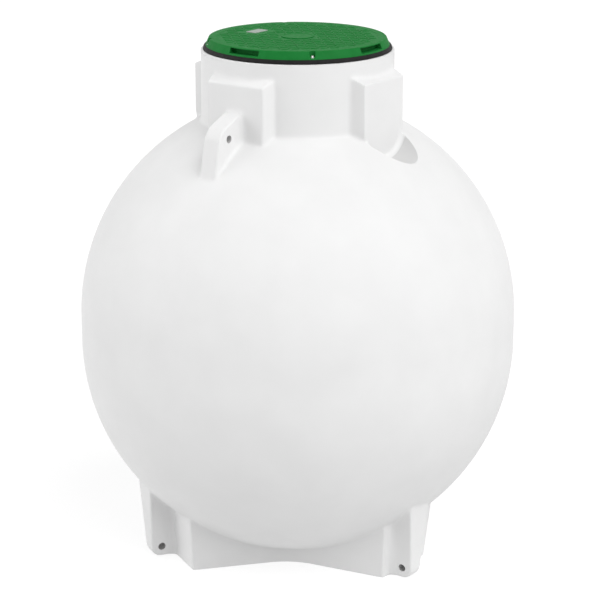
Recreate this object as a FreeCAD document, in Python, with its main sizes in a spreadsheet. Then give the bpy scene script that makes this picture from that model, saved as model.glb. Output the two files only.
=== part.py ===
import FreeCAD, Part
import os
import Sketcher
from FreeCAD import Placement, Rotation, Vector

# Underground storage tank: a ball with a straight belt, a manhole neck with four pads,
# two lifting lugs, two pipe recesses, a foot of three arms with anchor lugs, and a screwed lid.
# Millimetres, +Z up, origin on the ground on the axis of the neck.
# The lifting lugs face -Y and +Y, the pipe pads +X and -X, and one arm of the foot points to +X.

SIZES = {
    # Ball and belt
    "ball_radius": 725,
    "ball_lift": 15,
    "belt_height": 83,
    "shell_wall": 8,
    # Manhole neck; its top stands above the crown of the ball
    "neck_radius": 316,
    "neck_wall": 10,
    "neck_rise": 162,
    "rim_width": 40,
    "rim_thickness": 12,
    # Pads on the neck, from the neck's wall and down from its top
    "pad_stand": 25,
    "pad_half_width": 110,
    "pad_draft": 12,
    "pad_drop": 69,
    "pad_slope": 23,
    "pad_embed": 40,
    # Pipe recesses, down from the neck's top
    "pipe_drop": 214,
    # Lifting lugs, from the pad's face and down from the neck's top; the hole is set from the lug's top
    "lug_thickness": 64,
    "lug_drop": 159,
    "lug_shelf": 18,
    "lug_slope": 24,
    "lug_corner": 60,
    "lug_rake": 12,
    "lug_depth": 119.5,
    "lug_hole": 25,
    "lug_hole_out": 71,
    "lug_hole_drop": 69,
    # Arms of the foot
    "arm_reach": 439,
    "arm_half_width": 125,
    "arm_taper": 9.3,
    "arm_draft": 5,
    "arm_web": 200,
    # Anchor lugs, from the end of the arm; thickness is at the ground and the hole is the corner's centre
    "anchor_thickness": 50,
    "anchor_offset": 61,
    "anchor_draft": 6.5,
    "anchor_rake": 3.5,
    "anchor_corner": 36,
    "anchor_flare": 11,
    "anchor_flare_depth": 25,
    "anchor_hole": 26,
    "anchor_hole_out": 51,
    # Rounding of the moulding's free edges
    "mould_radius": 10,
    # Seal and lid, inwards from the neck's wall
    "seal_inset": 6,
    "seal_width": 24,
    "seal_height": 13.5,
    "lid_inset": 16,
    "lid_bevel": 11,
    "lid_height": 25.5,
    "lid_plate": 13,
    "lid_skirt": 52,
    "grip_width": 104,
    "grip_depth": 28,
    "grip_lip": 3,
    "grip_sill": 5,
    "notch_radius": 10,
    "notch_inset": 10,
    "notch_sink": 20,
    "medallion_radius": 54,
    "medallion_rise": 2,
}

FULL_TURN = 360
QUARTER = 90
DIAGONAL = 45
HALF_SECTOR = 60
TOUCH = 0.01
SIDES = {"right": 0, "back": 90, "left": 180, "front": 270}
ARMS = {"right": 0, "back": 120, "front": 240}
# The poles of a trimming ball lie sideways, clear of the pieces that it trims
SIDEWAYS = Rotation(Vector(1, 0, 0), QUARTER)

doc = FreeCAD.newDocument("storage_tank")
sheet = doc.addObject("Spreadsheet::Sheet", "sizes")
for row, (alias, size) in enumerate(SIZES.items(), start=1):
    sheet.set(f"A{row}", alias)
    sheet.set(f"B{row}", str(size))
    sheet.setAlias(f"B{row}", alias)
doc.recompute()


def cell(alias):
    """Name of a sheet cell inside an expression."""
    return f"sizes.{alias}"


def value(expression):
    """Present number behind an expression."""
    return float(sheet.evalExpression(str(expression)))


# Heights and lengths that follow from the driving sizes
RADIUS = cell("ball_radius")
INNER = f"({RADIUS} - {cell('shell_wall')})"
LOW_CENTRE = f"({cell('ball_lift')} + {RADIUS})"
HIGH_CENTRE = f"({LOW_CENTRE} + {cell('belt_height')})"
NECK = cell("neck_radius")
NECK_TOP = f"({HIGH_CENTRE} + {RADIUS} + {cell('neck_rise')})"
DOME_EDGE = f"({HIGH_CENTRE} + sqrt({RADIUS}^2 - {NECK}^2))"
DOME_INNER_EDGE = f"({HIGH_CENTRE} + sqrt({INNER}^2 - {NECK}^2))"
RIM_BOTTOM = f"({NECK_TOP} - {cell('rim_thickness')})"
RIM_BORE = f"({NECK} - {cell('rim_width')})"
PAD_FACE = f"({NECK} + {cell('pad_stand')})"
PAD_TOP = f"({NECK_TOP} - {cell('pad_drop')})"
PIPE_AXIS = f"({NECK_TOP} - {cell('pipe_drop')})"
RECESS_OUTER = f"({cell('pad_half_width')} + {cell('shell_wall')})"
RECESS_BACK = f"({PAD_FACE} - {cell('shell_wall')})"
SEAL_RADIUS = f"({NECK} - {cell('seal_inset')})"
SEAL_BORE = f"({SEAL_RADIUS} - {cell('seal_width')})"
LID_BOTTOM = f"({NECK_TOP} + {cell('seal_height')})"
LID_TOP = f"({LID_BOTTOM} + {cell('lid_height')})"
LID_RADIUS = f"({NECK} - {cell('lid_inset')})"
LID_TOP_RADIUS = f"({LID_RADIUS} - {cell('lid_bevel')})"
FOOT_TOP = f"({LOW_CENTRE} / 2)"
ANCHOR_HOLE = f"({cell('arm_reach')} + {cell('anchor_hole_out')})"
ANCHOR_EDGE = f"({ANCHOR_HOLE} + {cell('anchor_corner')} * cos({cell('anchor_rake')}))"


def new_body(label, turn=0):
    """Empty body, modelled facing +X and turned about the tank's axis."""
    body = doc.addObject("PartDesign::Body", label)
    body.Label = label
    body.Placement = Placement(Vector(0, 0, 0), Rotation(Vector(0, 0, 1), turn))
    return body


def origin_feature(body, role):
    """One of the body's own origin planes or axes."""
    return next(feature for feature in body.Origin.OriginFeatures if feature.Role == role)


def new_sketch(body, name, role, offset="0", turn=0):
    """Sketch on an origin plane, moved along the plane's normal or turned about its upright axis."""
    sketch = body.newObject("Sketcher::SketchObject", name)
    sketch.AttachmentSupport = [(origin_feature(body, role), "")]
    sketch.MapMode = "FlatFace"
    sketch.AttachmentOffset = Placement(Vector(0, 0, value(offset)), Rotation(Vector(0, 1, 0), turn))
    if offset != "0":
        sketch.setExpression("AttachmentOffset.Base.z", offset)
    return sketch


def bind(sketch, constraint, expression):
    """Add a dimension and tie it to the sheet."""
    index = sketch.addConstraint(constraint)
    sketch.setExpression(f"Constraints[{index}]", expression)


def arc_between(start, end, radius, bulge):
    """Arc from start to end, bulging to the left (+1) or right (-1) of the way between them."""
    chord = end - start
    across = Vector(-chord.y, chord.x, 0).normalize()
    depth = (radius ** 2 - (chord.Length / 2) ** 2) ** 0.5
    centre = (start + end) * 0.5 - across * depth * bulge
    first, last = (end, start) if bulge > 0 else (start, end)
    circle = Part.Circle(centre, Vector(0, 0, 1), radius)
    return Part.ArcOfCircle(circle, circle.parameter(first), circle.parameter(last))


def draw_outline(sketch, corners, arcs=None):
    """Closed outline through corners given as expressions.

    arcs maps the number of an edge to (radius expression, bulge side); the other edges are straight.
    """
    arcs = arcs or {}
    points = [Vector(value(x), value(y), 0) for x, y in corners]
    count = len(points)
    starts = []
    for edge, start in enumerate(points):
        end = points[(edge + 1) % count]
        if edge in arcs:
            radius, bulge = arcs[edge]
            index = sketch.addGeometry(arc_between(start, end, value(radius), bulge), False)
            starts.append((index, 2, 1) if bulge > 0 else (index, 1, 2))
            bind(sketch, Sketcher.Constraint("Radius", index, value(radius)), radius)
        else:
            index = sketch.addGeometry(Part.LineSegment(start, end), False)
            starts.append((index, 1, 2))
    for edge, (x, y) in enumerate(corners):
        index, first, last = starts[edge]
        before, before_first, before_last = starts[edge - 1]
        sketch.addConstraint(Sketcher.Constraint("Coincident", before, before_last, index, first))
        bind(sketch, Sketcher.Constraint("DistanceX", -1, 1, index, first, value(x)), x)
        bind(sketch, Sketcher.Constraint("DistanceY", -1, 1, index, first, value(y)), y)


def draw_circle(sketch, x, y, diameter):
    """Circle with its centre and diameter tied to the sheet."""
    centre = Vector(value(x), value(y), 0)
    index = sketch.addGeometry(Part.Circle(centre, Vector(0, 0, 1), value(diameter) / 2), False)
    bind(sketch, Sketcher.Constraint("DistanceX", -1, 1, index, 3, value(x)), x)
    bind(sketch, Sketcher.Constraint("DistanceY", -1, 1, index, 3, value(y)), y)
    bind(sketch, Sketcher.Constraint("Diameter", index, value(diameter)), diameter)


def extrude(body, kind, name, sketch, length, backwards=False, taper=None):
    """Pad or Pocket of a sketch."""
    feature = body.newObject(f"PartDesign::{kind}", name)
    feature.Profile = sketch
    feature.setExpression("Length", length)
    feature.Reversed = backwards
    if taper:
        feature.setExpression("TaperAngle", taper)
    return feature


def revolve(body, name, sketch, angle=FULL_TURN):
    """Revolution of a sketch about the tank's axis."""
    feature = body.newObject("PartDesign::Revolution", name)
    feature.Profile = sketch
    feature.ReferenceAxis = (sketch, ["V_Axis"])
    feature.Angle = angle
    return feature


def take_ball(body, name, centre):
    """Trim a body against the outside of the ball."""
    ball = body.newObject("PartDesign::SubtractiveSphere", name)
    ball.setExpression("Radius", RADIUS)
    ball.Placement = Placement(Vector(0, 0, 0), SIDEWAYS)
    ball.setExpression("Placement.Base.z", centre)
    return ball


def take_cylinder(body, name, radius, length, base, axis=Vector(0, 0, 1)):
    """Trim a body by a round bar that starts at base, given as three expressions."""
    bar = body.newObject("PartDesign::SubtractiveCylinder", name)
    bar.setExpression("Radius", radius)
    bar.setExpression("Height", length)
    bar.Placement = Placement(Vector(0, 0, 0), Rotation(Vector(0, 0, 1), axis))
    for letter, expression in zip("xyz", base):
        bar.setExpression(f"Placement.Base.{letter}", expression)
    return bar


def round_edges(body, name, base, chosen):
    """Round those edges of a feature that pass a test, by the moulding's own radius."""
    doc.recompute()
    edges = base.Shape.Edges
    names = [f"Edge{index}" for index, edge in enumerate(edges, start=1) if chosen(edge)]
    fillet = body.newObject("PartDesign::Fillet", name)
    fillet.Base = (base, names)
    fillet.setExpression("Radius", cell("mould_radius"))
    return fillet


def loft_between(body, label, outline, top):
    """Drafted block from its outline on the ground to its outline at a height."""
    low = new_sketch(body, f"{label}_sole", "XY_Plane")
    draw_outline(low, *outline("0"))
    high = new_sketch(body, f"{label}_crown", "XY_Plane", top)
    draw_outline(high, *outline(top))
    loft = body.newObject("PartDesign::AdditiveLoft", f"{label}_block")
    loft.Profile = low
    loft.Sections = [high]
    loft.Ruled = True
    return loft


def shell_quarter(label, turn, corners, arcs):
    """Quarter of a round wall, centred on the direction of its turn."""
    body = new_body(label, turn)
    profile = new_sketch(body, f"{label}_profile", "XZ_Plane", turn=-QUARTER / 2)
    draw_outline(profile, corners, arcs)
    revolve(body, f"{label}_wall", profile, QUARTER)
    return body


def make_bowl(side, turn):
    """Quarter of the lower half, with the straight belt above it."""
    belt_top = HIGH_CENTRE
    corners = [
        ("0", cell("ball_lift")),
        (RADIUS, LOW_CENTRE),
        (RADIUS, belt_top),
        (INNER, belt_top),
        (INNER, LOW_CENTRE),
        ("0", f"{cell('ball_lift')} + {cell('shell_wall')}"),
    ]
    return shell_quarter(f"bowl_{side}", turn, corners, {0: (RADIUS, -1), 4: (INNER, 1)})


def make_dome(side, turn):
    """Quarter of the upper half, open at the neck, and cut out for the pipe recess on the pipe sides."""
    corners = [
        (RADIUS, HIGH_CENTRE),
        (NECK, DOME_EDGE),
        (NECK, DOME_INNER_EDGE),
        (INNER, HIGH_CENTRE),
    ]
    body = shell_quarter(f"dome_{side}", turn, corners, {0: (RADIUS, -1), 2: (INNER, 1)})
    if side in ("right", "left"):
        base = (RECESS_BACK, "0", PIPE_AXIS)
        take_cylinder(body, f"dome_{side}_recess", RECESS_OUTER, RADIUS, base, Vector(1, 0, 0))
    return body


def make_neck(side, turn):
    """Quarter of the round neck wall."""
    bore = f"({NECK} - {cell('neck_wall')})"
    corners = [
        (bore, DOME_INNER_EDGE),
        (NECK, DOME_INNER_EDGE),
        (NECK, RIM_BOTTOM),
        (bore, RIM_BOTTOM),
    ]
    return shell_quarter(f"neck_{side}", turn, corners, {})


def make_ring(label, bore, radius, bottom, top):
    """Flat ring about the tank's axis."""
    body = new_body(label)
    profile = new_sketch(body, f"{label}_profile", "XZ_Plane")
    draw_outline(profile, [(bore, bottom), (radius, bottom), (radius, top), (bore, top)])
    revolve(body, f"{label}_turned", profile)
    return body


def make_pad(kind, side, turn):
    """Flat pad on the neck with drafted sides and a sloping top; a pipe pad ends below in a half round."""
    label = f"{kind}_pad_{side}"
    half = cell("pad_half_width")
    face = PAD_FACE
    top = NECK_TOP
    body = new_body(label, turn)
    outline = new_sketch(body, f"{label}_outline", "YZ_Plane", face)
    low = PIPE_AXIS if kind == "pipe" else HIGH_CENTRE
    corners = [(half, low), (half, top), (f"-{half}", top), (f"-{half}", low)]
    if kind == "pipe":
        draw_outline(outline, corners + [("0", f"{low} - {half}")], {3: (half, -1), 4: (half, -1)})
    else:
        draw_outline(outline, corners)
    depth = f"{face} - {NECK} + {cell('pad_embed')}"
    extrude(body, "Pad", f"{label}_block", outline, depth, True, cell("pad_draft"))
    inside = f"({NECK} - {cell('pad_embed')})"
    rise = f"({face} - {inside}) * tan({cell('pad_slope')})"
    slope = new_sketch(body, f"{label}_slope", "XZ_Plane", f"-2 * {half}")
    draw_outline(slope, [
        (face, PAD_TOP),
        (face, f"2 * {top}"),
        (inside, f"2 * {top}"),
        (inside, f"{PAD_TOP} + {rise}"),
    ])
    cut = extrude(body, "Pocket", f"{label}_slope_cut", slope, f"4 * {half}", True)
    floor = value(low) + TOUCH

    def on_face(edge):
        flat = all(abs(corner.X - value(face)) < TOUCH for corner in edge.Vertexes)
        return flat and edge.CenterOfMass.z > floor

    round_edges(body, f"{label}_edges", cut, on_face)
    take_cylinder(body, f"{label}_neck", NECK, f"2 * {top}", ("0", "0", "0"))
    take_ball(body, f"{label}_ball", HIGH_CENTRE)
    return body


def make_recess(side, turn):
    """Round trough in the dome with an upright back wall in line with the pipe pad."""
    label = f"pipe_recess_{side}"
    outside = doc.addObject("Part::Cylinder", f"{label}_outside")
    outside.setExpression("Radius", RECESS_OUTER)
    inside = doc.addObject("Part::Cylinder", f"{label}_inside")
    inside.setExpression("Radius", cell("pad_half_width"))
    for bar, start in ((outside, RECESS_BACK), (inside, PAD_FACE)):
        bar.setExpression("Height", RADIUS)
        bar.Placement = Placement(Vector(0, 0, 0), Rotation(Vector(0, 1, 0), QUARTER))
        bar.setExpression("Placement.Base.x", start)
        bar.setExpression("Placement.Base.z", PIPE_AXIS)
    trough = doc.addObject("Part::Cut", f"{label}_trough")
    trough.Base = outside
    trough.Tool = inside
    ball = doc.addObject("Part::Sphere", f"{label}_ball")
    ball.setExpression("Radius", RADIUS)
    ball.Placement = Placement(Vector(0, 0, 0), SIDEWAYS)
    ball.setExpression("Placement.Base.z", HIGH_CENTRE)
    recess = doc.addObject("Part::Common", label)
    recess.Base = trough
    recess.Tool = ball
    recess.Label = label
    recess.Placement = Placement(Vector(0, 0, 0), Rotation(Vector(0, 0, 1), turn))
    return recess


def make_lifting_lug(side, turn):
    """Fin on a pad with a short level shelf, a sloping brow, a raked outer edge and a rope hole."""
    label = f"lifting_lug_{side}"
    rake = cell("lug_rake")
    slope = cell("lug_slope")
    corner = cell("lug_corner")
    top = f"({NECK_TOP} - {cell('lug_drop')})"
    hole_height = f"({top} - {cell('lug_hole_drop')})"
    reach = f"({PAD_FACE} + {cell('lug_depth')})"
    foot = f"({HIGH_CENTRE} + {RADIUS} / 2)"
    shelf = f"({PAD_FACE} + {cell('lug_shelf')})"
    # The sloping top and the raked edge would meet at the tip, and an arc takes that corner off
    tip_run = f"({reach} + ({hole_height} - {top} - {shelf} * tan({slope})) * tan({rake}))"
    tip = f"({tip_run} / (1 - tan({slope}) * tan({rake})))"
    tip_height = f"({top} - ({tip} - {shelf}) * tan({slope}))"
    tip_setback = f"({corner} * tan(({QUARTER} - {rake} - {slope}) / 2))"
    shelf_setback = f"({corner} * tan({slope} / 2))"
    body = new_body(label, turn)
    outline = new_sketch(body, f"{label}_outline", "XZ_Plane", f"-{cell('lug_thickness')} / 2")
    draw_outline(outline, [
        (PAD_FACE, foot),
        (f"{reach} + ({hole_height} - {foot}) * tan({rake})", foot),
        (f"{tip} + {tip_setback} * sin({rake})", f"{tip_height} - {tip_setback} * cos({rake})"),
        (f"{tip} - {tip_setback} * cos({slope})", f"{tip_height} + {tip_setback} * sin({slope})"),
        (f"{shelf} + {shelf_setback} * cos({slope})", f"{top} - {shelf_setback} * sin({slope})"),
        (f"{shelf} - {shelf_setback}", top),
        (PAD_FACE, top),
    ], {2: (corner, -1), 4: (corner, -1)})
    fin = extrude(body, "Pad", f"{label}_fin", outline, cell("lug_thickness"))
    low_edge = value(foot) + TOUCH
    near = value(PAD_FACE) + TOUCH

    def on_outside(edge):
        along = edge.CenterOfMass
        flat = abs(abs(along.y) - value(cell("lug_thickness")) / 2) < TOUCH
        return flat and along.x > near and along.z > low_edge

    round_edges(body, f"{label}_edges", fin, on_outside)
    hole = new_sketch(body, f"{label}_hole", "XZ_Plane", f"-{cell('lug_thickness')}")
    draw_circle(hole, f"{PAD_FACE} + {cell('lug_hole_out')}", hole_height, cell("lug_hole"))
    extrude(body, "Pocket", f"{label}_hole_cut", hole, f"2 * {cell('lug_thickness')}", True)
    take_ball(body, f"{label}_ball", HIGH_CENTRE)
    return body


def arm_corners(height):
    """Outline of one arm at a height, with its walls grown outwards by their draft."""
    grow = f"({height} * tan({cell('arm_draft')}))"
    taper = cell("arm_taper")
    reach = f"({cell('arm_reach')} + {grow})"
    half = f"({cell('arm_half_width')} + {grow})"
    web = f"({cell('arm_web')} - {grow})"
    corner = f"({cell('mould_radius')} + {grow})"
    side = f"({web} + {reach} * sin({taper}) + {half} * cos({taper}))"
    web_centre = f"({side} / sin({HALF_SECTOR} + {taper}))"
    valley_x = f"(({web_centre} - {web}) * cos({HALF_SECTOR}))"
    valley_y = f"(({web_centre} - {web}) * sin({HALF_SECTOR}))"
    touch_x = f"({web_centre} * cos({HALF_SECTOR}) - {web} * sin({taper}))"
    touch_y = f"({web_centre} * sin({HALF_SECTOR}) - {web} * cos({taper}))"
    setback = f"({corner} * tan(({QUARTER} - {taper}) / 2))"
    shoulder_x = f"({reach} - {setback} * cos({taper}))"
    shoulder_y = f"({half} + {setback} * sin({taper}))"
    corners = [
        ("0", "0"),
        (valley_x, f"-{valley_y}"),
        (touch_x, f"-{touch_y}"),
        (shoulder_x, f"-{shoulder_y}"),
        (reach, f"-({half} - {setback})"),
        (reach, f"{half} - {setback}"),
        (shoulder_x, shoulder_y),
        (touch_x, touch_y),
        (valley_x, valley_y),
    ]
    return corners, {1: (web, 1), 3: (corner, -1), 5: (corner, -1), 7: (web, 1)}


def make_arm(side, turn):
    """One third of the foot: a tapered arm with drafted walls, blended into its neighbours."""
    label = f"base_arm_{side}"
    body = new_body(label, turn)
    loft_between(body, label, arm_corners, FOOT_TOP)
    take_ball(body, f"{label}_ball", LOW_CENTRE)
    return body


def anchor_corners(height):
    """Outline of an anchor lug at a height: a flared root on the arm's end and drafted sides."""
    rake = cell("anchor_rake")
    corner = cell("anchor_corner")
    rounding = cell("mould_radius")
    root = f"({cell('arm_reach')} + {height} * tan({cell('arm_draft')}))"
    waist = f"({root} + {cell('anchor_flare_depth')})"
    half = f"({cell('anchor_thickness')} / 2 + {height} * tan({cell('anchor_draft')}))"
    edge = f"({ANCHOR_EDGE} + ({height} - {corner} + {corner} * sin({rake})) * tan({rake}))"
    right = f"(-{cell('anchor_offset')} - {half})"
    left = f"(-{cell('anchor_offset')} + {half})"
    corners = [
        (root, f"{right} - {cell('anchor_flare')}"),
        (waist, right),
        (f"{edge} - {rounding}", right),
        (edge, f"{right} + {rounding}"),
        (edge, f"{left} - {rounding}"),
        (f"{edge} - {rounding}", left),
        (waist, left),
        (root, f"{left} + {cell('anchor_flare')}"),
    ]
    return corners, {2: (rounding, -1), 4: (rounding, -1)}


def make_anchor_lug(side, turn):
    """Fin on the end of an arm, set off to one side, with a tie-down hole in its round lower corner."""
    label = f"anchor_lug_{side}"
    rake = cell("anchor_rake")
    corner = cell("anchor_corner")
    edge_z = f"({corner} - {corner} * sin({rake}))"
    through = f"2 * {cell('anchor_offset')}"
    body = new_body(label, turn)
    loft_between(body, label, anchor_corners, FOOT_TOP)
    scrap = new_sketch(body, f"{label}_corner", "XZ_Plane", "0")
    draw_outline(scrap, [
        (ANCHOR_HOLE, "0"),
        (ANCHOR_EDGE, edge_z),
        (f"{ANCHOR_EDGE} + {corner}", edge_z),
        (f"{ANCHOR_EDGE} + {corner}", f"-{corner}"),
        (ANCHOR_HOLE, f"-{corner}"),
    ], {0: (corner, -1)})
    extrude(body, "Pocket", f"{label}_corner_cut", scrap, through, True)
    hole = new_sketch(body, f"{label}_hole", "XZ_Plane", "0")
    draw_circle(hole, ANCHOR_HOLE, corner, cell("anchor_hole"))
    extrude(body, "Pocket", f"{label}_hole_cut", hole, through, True)
    take_ball(body, f"{label}_ball", LOW_CENTRE)
    return body


def make_lid():
    """Screwed cover with a drafted edge, four grip slots, four screw notches and a plain medallion."""
    body = new_body("lid")
    plate_bottom = f"({LID_TOP} - {cell('lid_plate')})"
    skirt_bore = f"({LID_RADIUS} - {cell('lid_skirt')})"
    profile = new_sketch(body, "lid_profile", "XZ_Plane")
    draw_outline(profile, [
        ("0", plate_bottom),
        (skirt_bore, plate_bottom),
        (skirt_bore, LID_BOTTOM),
        (LID_RADIUS, LID_BOTTOM),
        (LID_TOP_RADIUS, LID_TOP),
        ("0", LID_TOP),
    ])
    revolve(body, "lid_turned", profile)
    medallion = new_sketch(body, "lid_medallion", "XY_Plane", LID_TOP)
    draw_circle(medallion, "0", "0", f"2 * {cell('medallion_radius')}")
    extrude(body, "Pad", "lid_medallion_disc", medallion, cell("medallion_rise"))
    back = f"({LID_TOP_RADIUS} - {cell('grip_depth')})"
    grip = new_sketch(body, "lid_grip", "YZ_Plane", back)
    half = f"({cell('grip_width')} / 2)"
    sill = f"({LID_BOTTOM} + {cell('grip_sill')})"
    lip = f"({LID_TOP} - {cell('grip_lip')})"
    draw_outline(grip, [(f"-{half}", sill), (half, sill), (half, lip), (f"-{half}", lip)])
    pocket = extrude(body, "Pocket", "lid_grip_slot", grip, f"{LID_RADIUS} - {back}", True)
    repeat_round(body, "lid_grips", pocket)
    notch = new_sketch(body, "lid_notch", "XY_Plane", f"{LID_TOP} - {cell('notch_sink')}")
    diagonal = f"(({LID_RADIUS} - {cell('notch_inset')}) * cos({DIAGONAL}))"
    draw_circle(notch, diagonal, diagonal, f"2 * {cell('notch_radius')}")
    cut = extrude(body, "Pocket", "lid_notch_cut", notch, f"2 * {cell('notch_sink')}", True)
    repeat_round(body, "lid_notches", cut)
    return body


def repeat_round(body, name, feature):
    """Four like cuts about the tank's axis."""
    doc.recompute()
    pattern = body.newObject("PartDesign::PolarPattern", name)
    pattern.Originals = [feature]
    pattern.Axis = (origin_feature(body, "Z_Axis"), [""])
    pattern.Angle = FULL_TURN
    pattern.Occurrences = len(SIDES)
    body.Tip = pattern
    return pattern


def make_tank():
    """All pieces of the tank, from the ball to the lid."""
    pieces = []
    for side, turn in SIDES.items():
        pieces += [make_bowl(side, turn), make_dome(side, turn), make_neck(side, turn)]
    pieces.append(make_ring("neck_rim", RIM_BORE, NECK, RIM_BOTTOM, NECK_TOP))
    for side in ("front", "back"):
        pieces += [make_pad("lug", side, SIDES[side]), make_lifting_lug(side, SIDES[side])]
    for side in ("right", "left"):
        pieces += [make_pad("pipe", side, SIDES[side]), make_recess(side, SIDES[side])]
    for side, turn in ARMS.items():
        pieces += [make_arm(side, turn), make_anchor_lug(side, turn)]
    pieces.append(make_ring("seal_ring", SEAL_BORE, SEAL_RADIUS, NECK_TOP, LID_BOTTOM))
    pieces.append(make_lid())
    return pieces


pieces = make_tank()
doc.recompute()

failed = [item.Name for item in doc.Objects if "Invalid" in item.State or "Error" in item.State]
if failed:
    raise RuntimeError(f"these objects did not build: {failed}")
for piece in pieces:
    if piece.Shape.isNull() or not piece.Shape.isValid():
        raise RuntimeError(f"{piece.Label} is empty or not valid")

os.makedirs("parts", exist_ok=True)
for piece in pieces:
    piece.Shape.exportStep(f"parts/{piece.Label}.step")
    print(piece.Label, len(piece.Shape.Solids), round(piece.Shape.Volume / 1000), "cm3")
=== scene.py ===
import math

import bmesh
import bpy
import numpy as np
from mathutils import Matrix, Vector


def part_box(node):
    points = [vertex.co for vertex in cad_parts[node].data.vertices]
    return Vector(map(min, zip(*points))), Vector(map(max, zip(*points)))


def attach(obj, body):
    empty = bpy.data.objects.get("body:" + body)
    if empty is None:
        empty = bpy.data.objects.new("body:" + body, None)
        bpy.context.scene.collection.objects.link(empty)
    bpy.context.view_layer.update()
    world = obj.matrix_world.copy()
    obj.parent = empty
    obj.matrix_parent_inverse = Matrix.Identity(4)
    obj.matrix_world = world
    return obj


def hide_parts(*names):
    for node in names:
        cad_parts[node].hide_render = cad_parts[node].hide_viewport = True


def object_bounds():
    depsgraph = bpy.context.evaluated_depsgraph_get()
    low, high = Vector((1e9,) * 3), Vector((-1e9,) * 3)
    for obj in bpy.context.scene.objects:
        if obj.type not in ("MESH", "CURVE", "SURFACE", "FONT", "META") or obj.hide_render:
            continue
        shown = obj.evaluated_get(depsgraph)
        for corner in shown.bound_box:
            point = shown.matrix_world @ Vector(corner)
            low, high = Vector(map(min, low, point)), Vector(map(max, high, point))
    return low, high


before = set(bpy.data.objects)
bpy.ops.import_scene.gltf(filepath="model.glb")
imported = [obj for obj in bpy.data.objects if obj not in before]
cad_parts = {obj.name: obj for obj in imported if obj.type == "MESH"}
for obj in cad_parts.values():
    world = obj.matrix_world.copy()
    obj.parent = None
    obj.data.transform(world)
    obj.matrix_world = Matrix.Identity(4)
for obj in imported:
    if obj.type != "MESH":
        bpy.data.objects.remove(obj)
cad_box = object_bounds()

MM = 0.001

# Sizes of the moulding that the frame gives, in metres
BALL_RADIUS = cad_box[1].x
LOW_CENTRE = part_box("bowl_right")[0].z + BALL_RADIUS
HIGH_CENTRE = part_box("dome_right")[0].z
NECK_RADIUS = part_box("neck_rim")[1].x
NECK_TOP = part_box("neck_rim")[1].z
PAD_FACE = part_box("pipe_pad_right")[1].x
LUG_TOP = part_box("lifting_lug_front")[1].z
LUG_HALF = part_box("lifting_lug_front")[1].x

# Sizes of the moulding that are its own
PAD_HALF = 110 * MM
PAD_TOP = NECK_TOP - 69 * MM
PAD_EMBED = 40 * MM
PAD_DRAFT = math.radians(12)
PAD_SLOPE = math.radians(23)
PIPE_AXIS = NECK_TOP - 214 * MM
TROUGH_GAP = 0.15 * MM
TROUGH_BLEND = 17 * MM
LUG_SHELF = PAD_FACE + 18 * MM
LUG_SLOPE = math.radians(24)
LUG_REACH = PAD_FACE + 119.5 * MM
LUG_RAKE = math.radians(12)
LUG_CORNER = 60 * MM
LUG_HOLE_RADIUS = 12.5 * MM
LUG_HOLE_OUT = PAD_FACE + 71 * MM
LUG_HOLE_HEIGHT = LUG_TOP - 69 * MM
ARM_REACH = 439 * MM
ARM_HALF = 125 * MM
ARM_TAPER = math.radians(9.3)
ARM_DRAFT = math.radians(5)
ARM_WEB = 200 * MM
HALF_SECTOR = math.radians(60)
FIN_OFFSET = 61 * MM
FIN_HALF = 25 * MM
FIN_DRAFT = math.radians(6.5)
FIN_RAKE = math.radians(3.5)
FIN_CORNER = 36 * MM
FIN_FLARE = 11 * MM
FIN_FLARE_DEPTH = 25 * MM
FIN_HOLE_RADIUS = 13 * MM
FIN_HOLE_OUT = ARM_REACH + 51 * MM
FIN_HOLE_HEIGHT = FIN_CORNER
FIN_REACH = FIN_HOLE_OUT + FIN_CORNER * (1 / math.cos(FIN_RAKE) - math.tan(FIN_RAKE))
FOOT_BURIED = 300 * MM
FOOT_SPARE = 12 * MM
EDGE_ROUND = 6 * MM

# Turns of what repeats about the tank's axis, in degrees
ARM_TURNS = (0, 120, 240)
PIPE_TURNS = (0, 180)
LUG_TURNS = (270, 90)
GRIP_TURNS = (0, 90, 180, 270)
DIAGONAL = 45
SCREW_TURNS = [turn + DIAGONAL for turn in GRIP_TURNS]

# Sizes of the seal and the lid
SEAL_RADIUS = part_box("seal_ring")[1].x
SEAL_WIDTH = 24 * MM
SEAL_SLANT = 5 * MM
SEAL_ROUND = 4 * MM
LID_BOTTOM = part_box("lid")[0].z
LID_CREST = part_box("lid")[1].z
LID_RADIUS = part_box("lid")[1].x
MEDALLION_RISE = 2 * MM
LID_TOP = LID_CREST - MEDALLION_RISE
LID_TOP_RADIUS = LID_RADIUS - 11 * MM
LID_UNDERSIDE = LID_TOP - 13 * MM
LID_SKIRT = 52 * MM
LID_EDGE = 2.5 * MM
LID_SIDES = 160
FIELD_RADIUS = 262 * MM
FIELD_SINK = 0.8 * MM
MEDALLION_RADIUS = 54 * MM
MEDALLION_RIM = 6 * MM
MEDALLION_EDGE = 1 * MM
GRIP_HALF = 57 * MM
GRIP_BACK = LID_TOP_RADIUS - 22 * MM
GRIP_SILL = LID_BOTTOM + 5 * MM
GRIP_LIP = LID_TOP - 3 * MM
GRIP_CORNER = 2 * MM
NOTCH_RADIUS = 10 * MM
NOTCH_OUT = LID_RADIUS - 10 * MM
NOTCH_FLOOR = LID_TOP - 20 * MM
CUT_SPARE = 20 * MM
TREAD_PITCH = 22 * MM
TREAD_LENGTH = 24 * MM
TREAD_WIDTH = 6.5 * MM
TREAD_HEIGHT = 1.6 * MM
TREAD_TAPER = 0.72
TREAD_CLEAR = 14 * MM
WASHER_RADIUS = 7.6 * MM
WASHER_HEIGHT = 1.4 * MM
SCREW_RADIUS = 4.5 * MM
SCREW_HEIGHT = 5 * MM
SCREW_DOME = 2.2 * MM
CROSS_WIDTH = 1.6 * MM
CROSS_LENGTH = 5.5 * MM
CROSS_DEPTH = 2 * MM
PLATE_OUT = -165 * MM
PLATE_WIDTH = 40 * MM
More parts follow.
